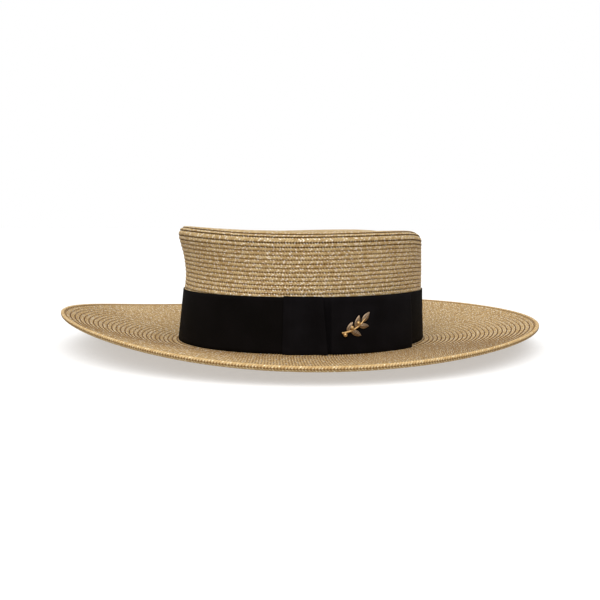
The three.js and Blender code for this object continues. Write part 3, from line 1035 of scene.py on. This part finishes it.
def berry_grid(centre):
    """A round berry with a dimple on top, from its foot up."""
    steps, sides, end_gap = 20, 28, 0.01
    dimple_depth, dimple_width = 0.3, 0.22
    ball = []
    for k in range(steps + 1):
        b = math.pi * (1 - end_gap - (1 - 2 * end_gap) * k / steps)
        dimple = 1 - dimple_depth * math.exp(-((b / dimple_width) ** 2))
        out = BERRY_RADIUS * math.sin(b)
        height = BERRY_HEIGHT + BERRY_RADIUS * math.cos(b) * dimple
        ring = []
        for j in range(sides):
            a = 2 * math.pi * j / sides
            ring.append([centre[0] + out * math.cos(a), centre[1] + out * math.sin(a), height])
        ball.append(ring)
    return np.array(ball)


def sprig_stem():
    points, faces = [], []
    add_grid(points, faces, stem_grid())
    for berry in BERRIES:
        out = berry["side"] * (STEM_RADIUS + berry["out"] * BERRY_RADIUS)
        add_grid(points, faces, berry_grid(beside_stem(berry["at"], out)))
    return points, faces


def on_loop(points):
    """Moves points of the sprig's own plane onto the front of the loop, in millimetres."""
    outset = float(loop_front(SPRIG_ALONG)) + 0.5 * SHOWN_THICKNESS + SPRIG_GAP

    def at(along):
        return crown_point(angle_along(along), RIBBON_FOOT + SPRIG_HEIGHT, outset)

    tangent = at(SPRIG_ALONG + 1) - at(SPRIG_ALONG - 1)
    tangent /= np.linalg.norm(tangent)
    up = np.array([0.0, 0.0, 1.0])
    out = np.cross(tangent, up)
    c, s = math.cos(SPRIG_TILT), math.sin(SPRIG_TILT)
    x = c * tangent + s * up
    y = c * up - s * tangent
    p = np.array(points)
    # The sprig bends round with the ribbon under it
    bend = p[:, 0] ** 2 / (2 * LOOP_BEND_RADIUS)
    return at(SPRIG_ALONG) + p[:, :1] * x + p[:, 1:2] * y + (p[:, 2:] - bend[:, None]) * out


leaf_points, leaf_faces = sprig_leaves()
sprig_leaf_piece = new_object("sprig_leaves", on_loop(leaf_points), leaf_faces)
stem_points, stem_faces = sprig_stem()
sprig_stem_piece = new_object("sprig_stem", on_loop(stem_points), stem_faces)


# Every piece: its material, slot and what it replaces

PIECES = [
    (crown_side, crown_straw, "crown_straw", "crown"),
    (crown_tip, crown_straw, "crown_straw", "crown"),
    (crown_inside, crown_straw, "crown_straw", "crown"),
    (crown_inside_tip, crown_straw, "crown_straw", "crown"),
    (brim_top, brim_straw, "brim_straw", "brim"),
    (brim_under, brim_straw, "brim_straw", "brim"),
    (brim_edge, edge_straw_lit, "brim_straw", "brim"),
    (brim_collar, brim_straw, "brim_straw", "brim"),
    (ribbon_band, ribbon_black, "ribbon", "band"),
    (bow_loop, bow_black_lit, "bow_ribbon", "bow_loop"),
    (bow_knot, bow_black_lit, "bow_ribbon", "bow_knot"),
    (sprig_leaf_piece, leaf_bronze, "aged_brass", "ornament"),
    (sprig_stem_piece, aged_brass, "aged_brass", "ornament"),
]

for obj, material, slot, node in PIECES:
    obj.data.materials.append(material)
    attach(obj, "root")
    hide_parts(node)

# Floor, light and camera. The floor is in metres. Its own glow keeps it pale, and the hat isn't lit
# by light that comes back from it. The camera sees a white world that lights the hat less.

FLOOR_REACH = 12.0
FLOOR_DROP = 0.0003
FLOOR_GREY = 0.6
FLOOR_GLOW = 0.42
FLOOR_ROUGHNESS = 0.9
WORLD_LIGHT = 0.55
WHITE = (1.0, 1.0, 1.0, 1.0)


def floor_material():
    tree = Tree("floor")
    shader = tree.shader
    shader.inputs["Base Color"].default_value = (FLOOR_GREY, FLOOR_GREY, FLOOR_GREY, 1.0)
    shader.inputs["Roughness"].default_value = FLOOR_ROUGHNESS
    shader.inputs["Emission Color"].default_value = WHITE
    shader.inputs["Emission Strength"].default_value = FLOOR_GLOW
    return tree.material


def add_floor():
    mesh = bpy.data.meshes.new("floor")
    r = FLOOR_REACH
    mesh.from_pydata([(-r, -r, 0), (r, -r, 0), (r, r, 0), (-r, r, 0)], [], [(0, 1, 2, 3)])
    mesh.materials.append(floor_material())
    floor = bpy.data.objects.new("floor", mesh)
    floor.location.z = -FLOOR_DROP
    floor.visible_diffuse = False
    floor.visible_glossy = False
    bpy.context.scene.collection.objects.link(floor)
    return floor


floor = add_floor()


def add_world():
    world = bpy.data.worlds.new("studio")
    world.use_nodes = True
    nodes, links = world.node_tree.nodes, world.node_tree.links
    sky = nodes["Background"]
    sky.inputs[0].default_value = WHITE
    path = nodes.new("ShaderNodeLightPath")
    strength = nodes.new("ShaderNodeMapRange")
    strength.inputs["To Min"].default_value = WORLD_LIGHT
    strength.inputs["To Max"].default_value = 1.0
    links.new(path.outputs["Is Camera Ray"], strength.inputs["Value"])
    links.new(strength.outputs[0], sky.inputs[1])
    return world


bpy.context.scene.world = add_world()
bpy.context.scene.view_settings.view_transform = "Standard"

# The view turns forward from the wearer's left, looks down from its rise, and rolls a little. It is
# aimed VIEW_RIGHT to the right of the hat's axis and VIEW_UP over what the hat rests on.
FRAME_PIXEL = 0.84
VIEW_TURN = math.radians(15.14)
VIEW_RISE = math.radians(6.08)
VIEW_ROLL = math.radians(0.47)
VIEW_DISTANCE = 700 * FRAME_PIXEL
VIEW_RIGHT = -3.85 * FRAME_PIXEL
VIEW_UP = BRIM_WALL + 36.15 * FRAME_PIXEL
LENS = 42.0
SENSOR_WIDTH = 36.0
CLIP_START = 0.02

# The main light: its strength, how wide it is, and its direction as shares of the picture's right,
# the way back to the camera, and up
KEY_POWER = 2.6
KEY_WIDTH = math.radians(70)
KEY_RIGHT = -0.12
KEY_BACK = 0.75


def picture_axes():
    """The picture's right, the view's direction and the picture's up, before the roll."""
    right = Vector((math.sin(VIEW_TURN), math.cos(VIEW_TURN), 0))
    level = Vector((-math.cos(VIEW_TURN), math.sin(VIEW_TURN), 0))
    forward = level * math.cos(VIEW_RISE) - Vector((0, 0, math.sin(VIEW_RISE)))
    up = level * math.sin(VIEW_RISE) + Vector((0, 0, math.cos(VIEW_RISE)))
    return right, forward, up


def add_key(right, forward):
    light = bpy.data.lights.new("key", "SUN")
    light.energy = KEY_POWER
    light.angle = KEY_WIDTH
    key = bpy.data.objects.new("key", light)
    source = right * KEY_RIGHT - forward * KEY_BACK + Vector((0, 0, 1.0))
    key.rotation_euler = (-source).to_track_quat("-Z", "Y").to_euler()
    bpy.context.scene.collection.objects.link(key)


def add_camera(right, forward, up):
    data = bpy.data.cameras.new("camera")
    data.lens = LENS
    data.sensor_width = SENSOR_WIDTH
    data.clip_start = CLIP_START
    camera = bpy.data.objects.new("camera", data)
    target = right * VIEW_RIGHT * MM + Vector((0, 0, VIEW_UP * MM))
    place = target - forward * VIEW_DISTANCE * MM
    roll_right = right * math.cos(VIEW_ROLL) + up * math.sin(VIEW_ROLL)
    roll_up = up * math.cos(VIEW_ROLL) - right * math.sin(VIEW_ROLL)
    axes = Matrix((roll_right, roll_up, -forward)).transposed().to_4x4()
    camera.matrix_world = Matrix.Translation(place) @ axes
    bpy.context.scene.collection.objects.link(camera)
    return camera


right, forward, up = picture_axes()
add_key(right, forward)
bpy.context.scene.camera = add_camera(right, forward, up)
